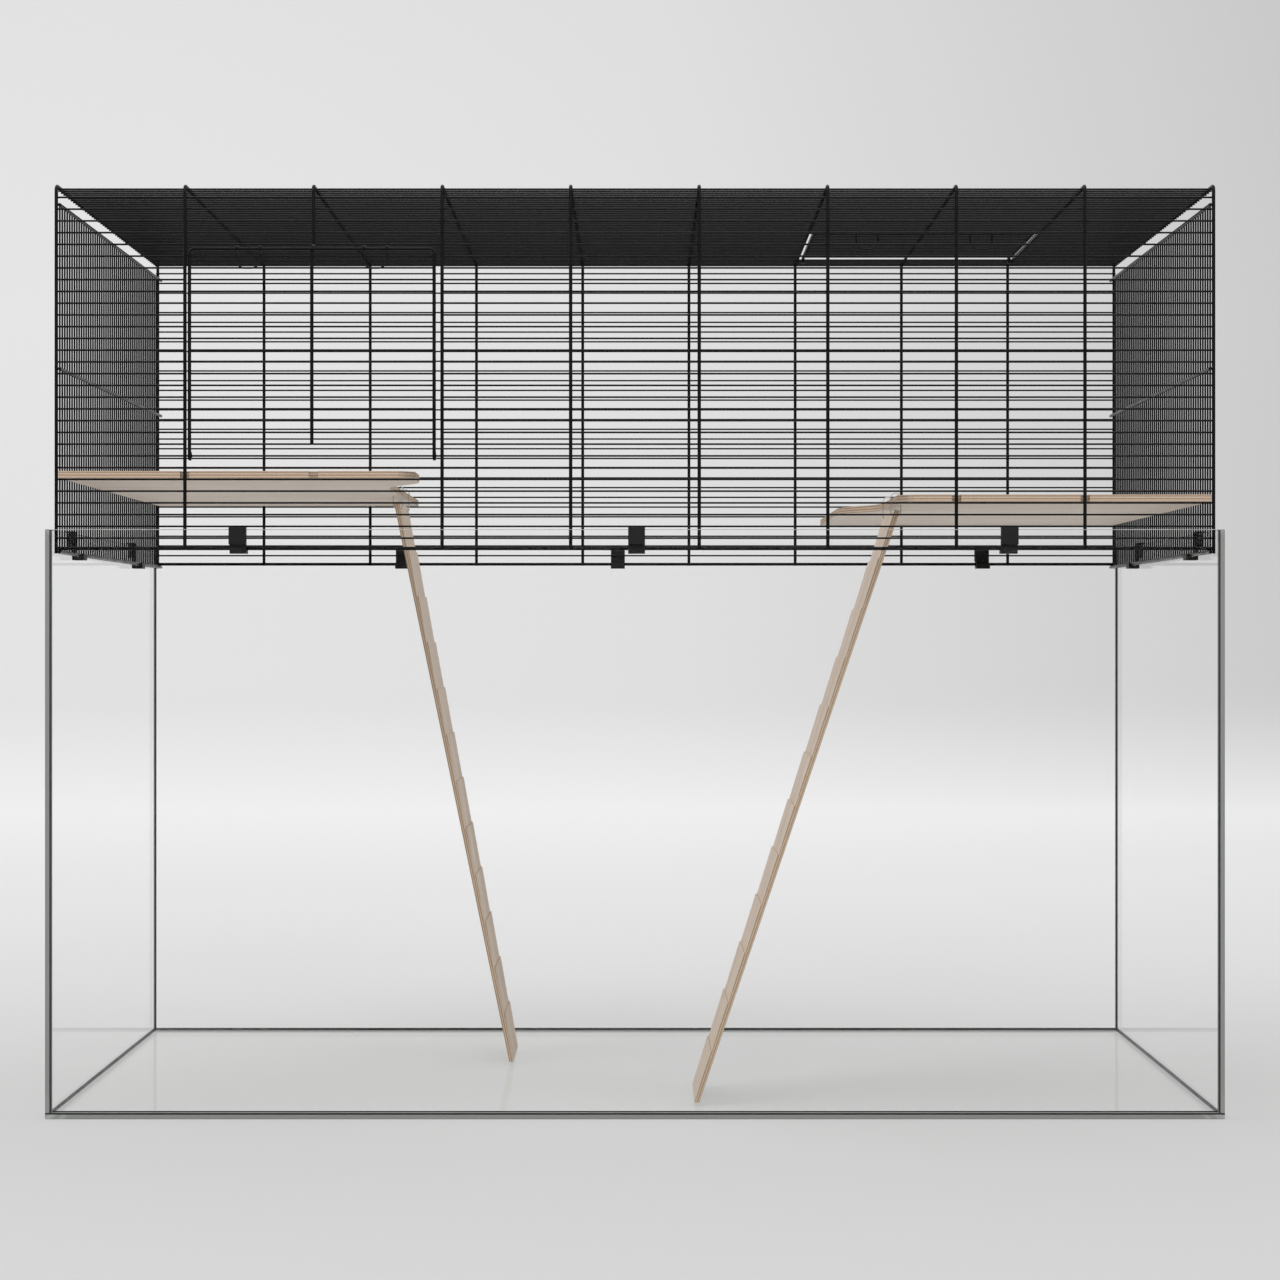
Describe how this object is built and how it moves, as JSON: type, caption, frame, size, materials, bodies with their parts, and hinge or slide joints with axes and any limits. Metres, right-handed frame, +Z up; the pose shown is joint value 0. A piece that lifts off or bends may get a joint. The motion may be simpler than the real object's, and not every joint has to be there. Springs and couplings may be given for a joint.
{
  "type": "rodent cage",
  "caption": "Glass tank with a wire mesh top that has a front door and a roof door, plywood shelves and wooden ladders for small rodents.",
  "frame": {"origin": "under the middle of the tank, on the surface that it stands on", "axes": "+X to the right along the tank's long side, +Y from the front with the door to the back, +Z up"},
  "size_m": [1.0036, 0.5036, 0.7979],
  "materials": {
    "float_glass": "clear, ground edges",
    "silicone": "black silicone, satin",
    "coated_wire": "black powder coat, glossy",
    "plywood": "bare sanded plywood",
    "ladder_wood": "bare sanded softwood",
    "clip_plastic": "black moulded plastic, satin",
    "link_steel": "plain bent steel wire"
  },
  "bodies": {
    "tank": {"glass_floor_pane": "float_glass", "glass_front_pane": "float_glass", "glass_back_pane": "float_glass", "glass_left_pane": "float_glass", "glass_right_pane": "float_glass", "silicone_seams": "silicone", "front_clip_left": "clip_plastic", "front_clip_middle": "clip_plastic", "front_clip_right": "clip_plastic", "back_clip_left": "clip_plastic", "back_clip_middle": "clip_plastic", "back_clip_right": "clip_plastic", "left_clip_front": "clip_plastic", "left_clip_rear": "clip_plastic", "right_clip_front": "clip_plastic", "right_clip_rear": "clip_plastic"},
    "wire_top": {"front_panel": "coated_wire", "back_panel": "coated_wire", "roof_panel": "coated_wire", "left_side_panel": "coated_wire", "right_side_panel": "coated_wire", "left_shelf": "plywood", "right_shelf": "plywood", "left_ladder_links": "link_steel", "right_ladder_links": "link_steel"},
    "front_door": {"front_door_frame": "coated_wire", "front_door_bars": "coated_wire"},
    "front_latch_left": {"front_door_latch_left": "coated_wire"},
    "front_latch_right": {"front_door_latch_right": "coated_wire"},
    "roof_door": {"roof_door_frame": "coated_wire", "roof_door_bars": "coated_wire"},
    "roof_latch_left": {"roof_door_latch_left": "coated_wire"},
    "roof_latch_right": {"roof_door_latch_right": "coated_wire"},
    "ladder_left": {"left_ladder": "ladder_wood"},
    "ladder_right": {"right_ladder": "ladder_wood"}
  },
  "joints": [
    {"name": "wire_top_lift", "type": "slide", "parent": "tank", "child": "wire_top", "axis": [0, 0, 1], "range_m": [0, 0.52]},
    {"name": "front_door_hinge", "type": "hinge", "parent": "wire_top", "child": "front_door", "pos_m": [-0.27473, -0.2398, 0.5628], "axis": [1, 0, 0], "range_deg": [0, 148]},
    {"name": "front_latch_left_pivot", "type": "hinge", "parent": "front_door", "child": "front_latch_left", "pos_m": [-0.32873, -0.2424, 0.7386], "axis": [-1, 0, 0], "range_deg": [0, 90]},
    {"name": "front_latch_right_pivot", "type": "hinge", "parent": "front_door", "child": "front_latch_right", "pos_m": [-0.22073, -0.2424, 0.7386], "axis": [-1, 0, 0], "range_deg": [0, 90]},
    {"name": "roof_door_hinge", "type": "hinge", "parent": "wire_top", "child": "roof_door", "pos_m": [0.27333, 0.1935, 0.7903], "axis": [-1, 0, 0], "range_deg": [0, 148]},
    {"name": "roof_latch_left_pivot", "type": "hinge", "parent": "roof_door", "child": "roof_latch_left", "pos_m": [0.21933, 0.0177, 0.7929], "axis": [-1, 0, 0], "range_deg": [0, 65]},
    {"name": "roof_latch_right_pivot", "type": "hinge", "parent": "roof_door", "child": "roof_latch_right", "pos_m": [0.32733, 0.0177, 0.7929], "axis": [-1, 0, 0], "range_deg": [0, 65]},
    {"name": "ladder_left_swing", "type": "hinge", "parent": "wire_top", "child": "ladder_left", "pos_m": [-0.2274, 0.0845, 0.536], "axis": [0, -1, 0], "range_deg": [0, 60]},
    {"name": "ladder_right_swing", "type": "hinge", "parent": "wire_top", "child": "ladder_right", "pos_m": [0.2276, -0.1425, 0.5184], "axis": [0, 1, 0], "range_deg": [0, 60]}
  ]
}
